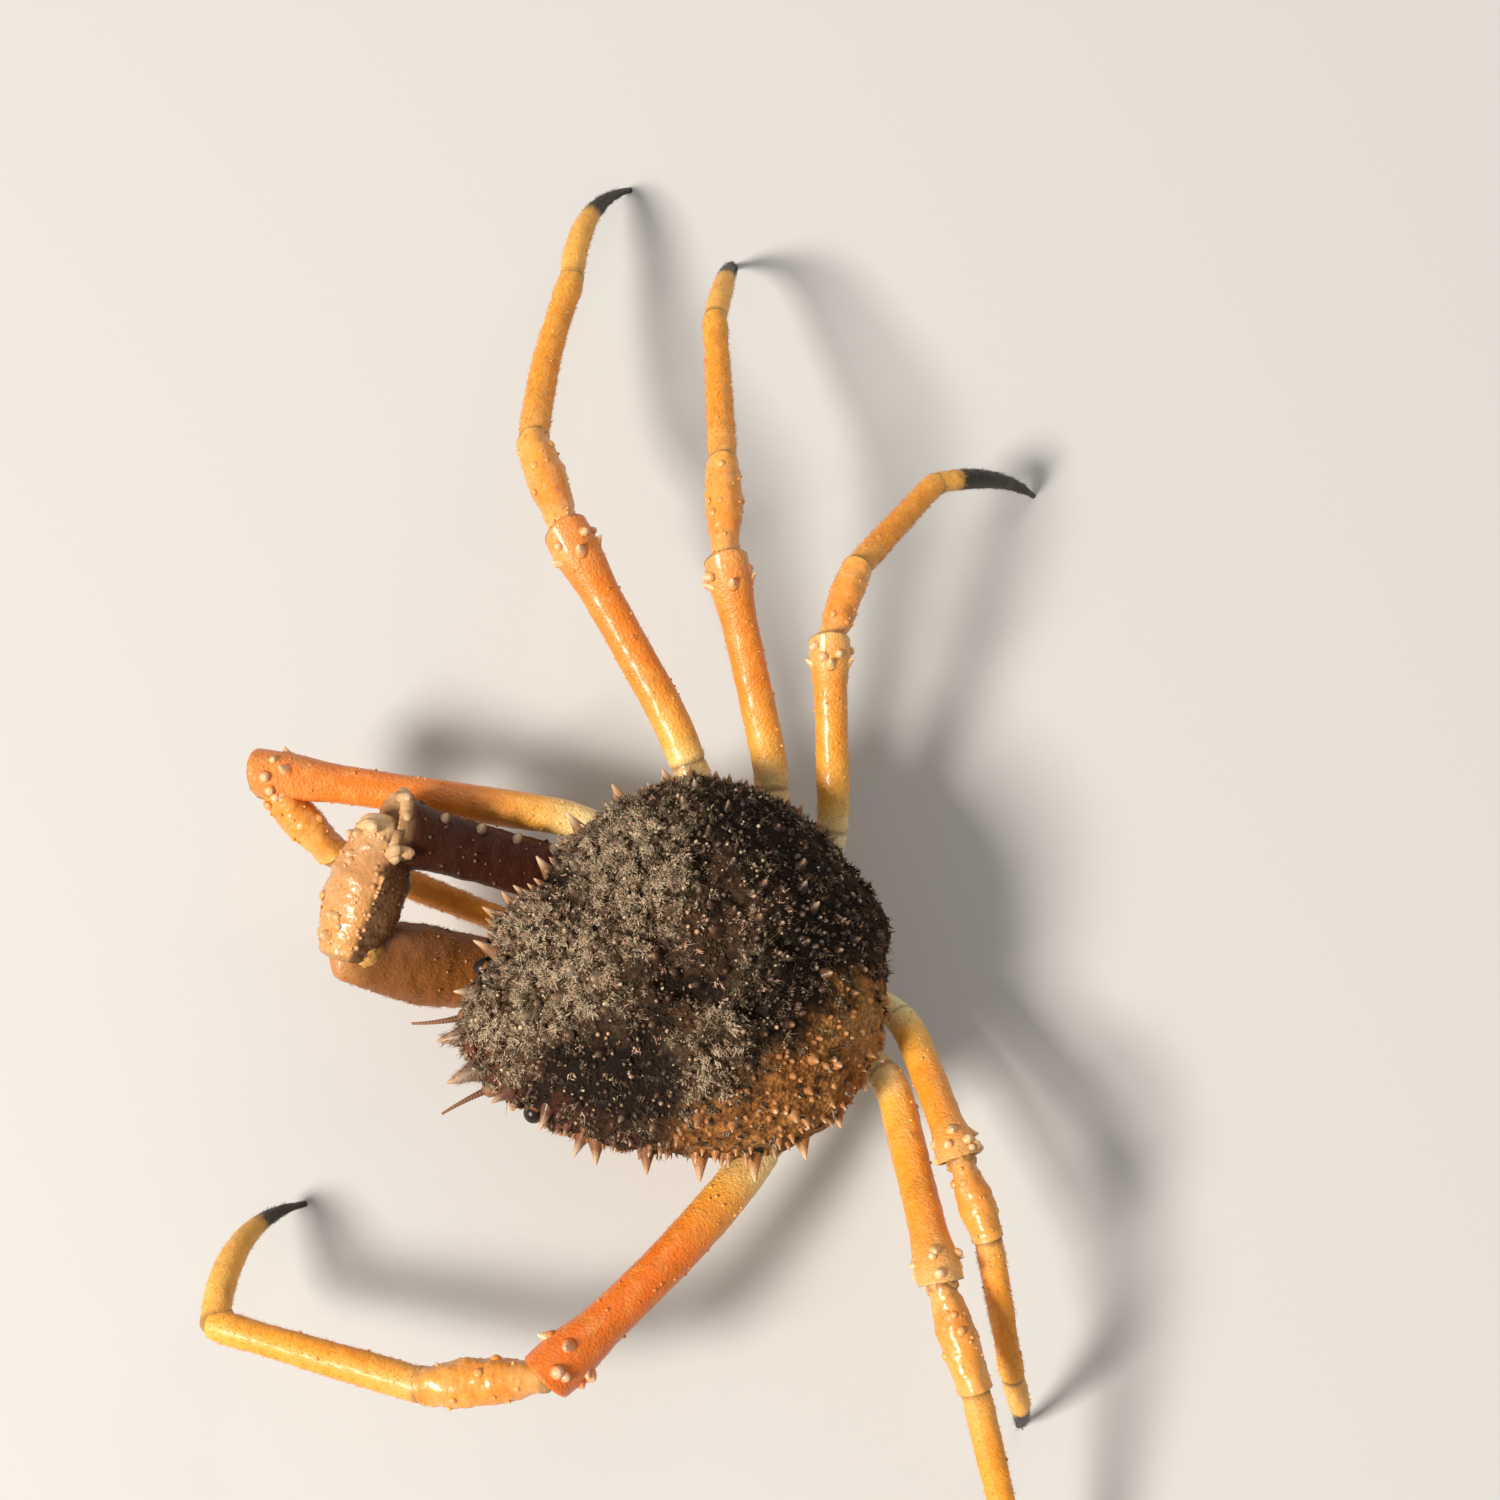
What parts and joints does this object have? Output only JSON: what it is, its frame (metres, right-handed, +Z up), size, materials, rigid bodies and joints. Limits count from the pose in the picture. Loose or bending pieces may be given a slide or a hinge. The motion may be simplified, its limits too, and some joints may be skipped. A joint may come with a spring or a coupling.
{
  "type": "european spider crab",
  "caption": "Life-size spiny spider crab standing on its toe tips, with a domed shell, slim jointed legs, folded claws, short eyes and feelers.",
  "frame": {"origin": "middle of the footprint, on the floor that the toe tips stand on", "axes": "+Z up, the head looks along -Y, the crab's right side is at -X"},
  "size_m": [0.5946, 0.3824, 0.115],
  "materials": {
    "shell": "rough red-brown shell under grey-beige weed, with pale spine tips",
    "breastplate": "smooth cream to straw shell",
    "tail_flap": "smooth cream shell",
    "eye": "glossy near-black",
    "feeler": "satin orange-brown",
    "mouth_plate": "satin tan with short hairs",
    "claw_arm": "wet dark red-brown",
    "claw_wrist": "wet granular pinkish tan",
    "claw_palm": "wet orange-brown",
    "claw_finger": "wet orange with pale tips",
    "upper_leg": "wet orange, cream near the body",
    "knee": "wet tan-orange with pale tubercles",
    "shank": "downy yellow-orange",
    "toe": "yellow downy base, hard near-black point"
  },
  "bodies": {
    "root": {"carapace": "shell", "sternum": "breastplate", "abdomen": "tail_flap", "right_eye": "eye", "left_eye": "eye", "right_antenna": "feeler", "left_antenna": "feeler", "right_maxilliped": "mouth_plate", "left_maxilliped": "mouth_plate", "right_claw_arm": "claw_arm", "right_claw_wrist": "claw_wrist", "right_claw_hand": "claw_palm", "right_claw_finger": "claw_finger", "left_claw_arm": "claw_arm", "left_claw_wrist": "claw_wrist", "left_claw_hand": "claw_palm", "left_claw_finger": "claw_finger", "right_leg_1_merus": "upper_leg", "right_leg_1_carpus": "knee", "right_leg_1_propodus": "shank", "right_leg_1_dactyl": "toe", "right_leg_2_merus": "upper_leg", "right_leg_2_carpus": "knee", "right_leg_2_propodus": "shank", "right_leg_2_dactyl": "toe", "right_leg_3_merus": "upper_leg", "right_leg_3_carpus": "knee", "right_leg_3_propodus": "shank", "right_leg_3_dactyl": "toe", "right_leg_4_merus": "upper_leg", "right_leg_4_carpus": "knee", "right_leg_4_propodus": "shank", "right_leg_4_dactyl": "toe", "left_leg_1_merus": "upper_leg", "left_leg_1_carpus": "knee", "left_leg_1_propodus": "shank", "left_leg_1_dactyl": "toe", "left_leg_2_merus": "upper_leg", "left_leg_2_carpus": "knee", "left_leg_2_propodus": "shank", "left_leg_2_dactyl": "toe", "left_leg_3_merus": "upper_leg", "left_leg_3_carpus": "knee", "left_leg_3_propodus": "shank", "left_leg_3_dactyl": "toe", "left_leg_4_merus": "upper_leg", "left_leg_4_carpus": "knee", "left_leg_4_propodus": "shank", "left_leg_4_dactyl": "toe"}
  },
  "joints": []
}
